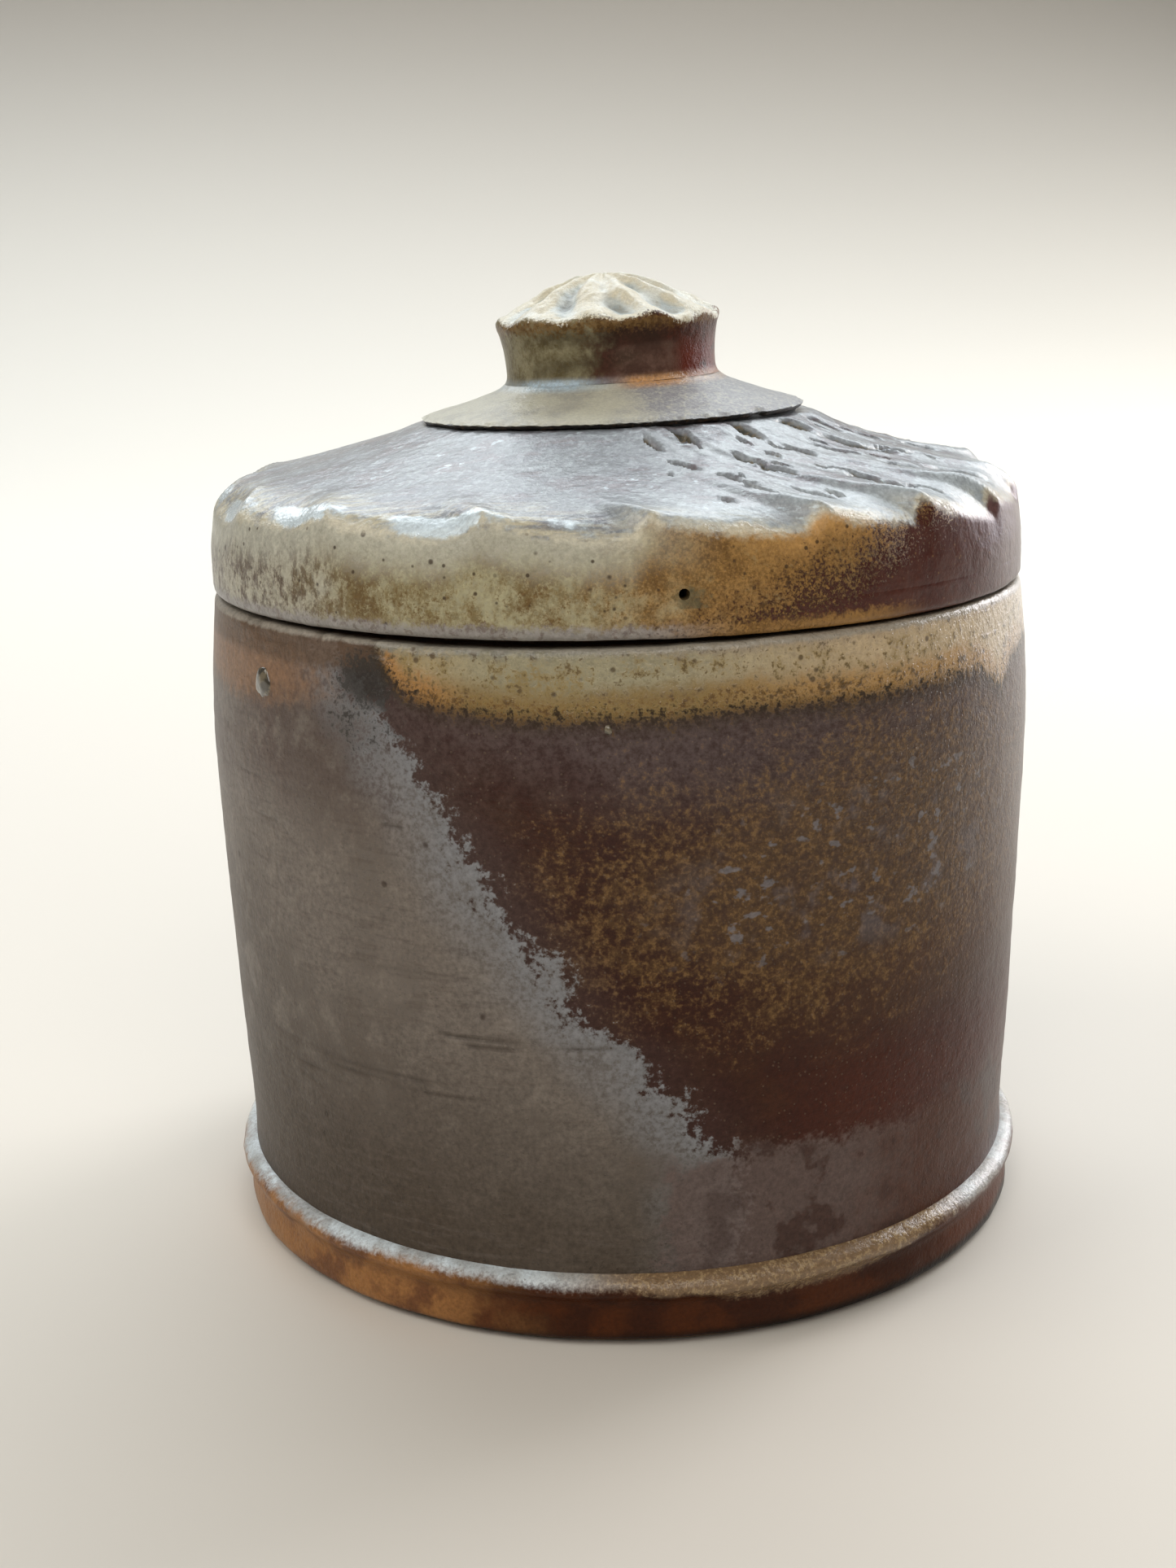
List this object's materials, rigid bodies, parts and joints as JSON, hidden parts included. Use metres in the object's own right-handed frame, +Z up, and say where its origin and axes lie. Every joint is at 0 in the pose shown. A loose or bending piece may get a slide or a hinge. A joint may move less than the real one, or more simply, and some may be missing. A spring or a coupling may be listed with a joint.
{
  "type": "sugar bowl",
  "caption": "Straight-sided lidded stoneware bowl for sugar, with a beaded foot, a facet-cut hollow lid, a locating ring and a flared knob.",
  "frame": {"origin": "on the table, under the middle of the flat base", "axes": "+Z up along the axis of the bowl and knob; -Y is the side with the small vent hole in the lid, a little right of its middle"},
  "size_m": [0.1026, 0.1026, 0.1165],
  "materials": {
    "wall_glaze": "satin iron-brown and grey flashing",
    "foot_flashing": "satin orange and brown flashing",
    "lid_ash_glaze": "gloss ash glaze, olive to amber",
    "lid_edge_glaze": "satin grey",
    "bare_stoneware": "matt unglazed",
    "collar_ash_glaze": "satin pale ash",
    "knob_ash_glaze": "gloss ash glaze, olive to brown"
  },
  "bodies": {
    "pot": {"wall": "wall_glaze", "base": "foot_flashing"},
    "lid": {"lid_shell": "lid_ash_glaze", "lid_floor": "lid_edge_glaze", "locating_ring": "bare_stoneware", "collar": "collar_ash_glaze", "knob": "knob_ash_glaze"}
  },
  "joints": [
    {"name": "lid_lift", "type": "slide", "parent": "pot", "child": "lid", "axis": [0, 0, 1], "range_m": [0, 0.08]}
  ]
}
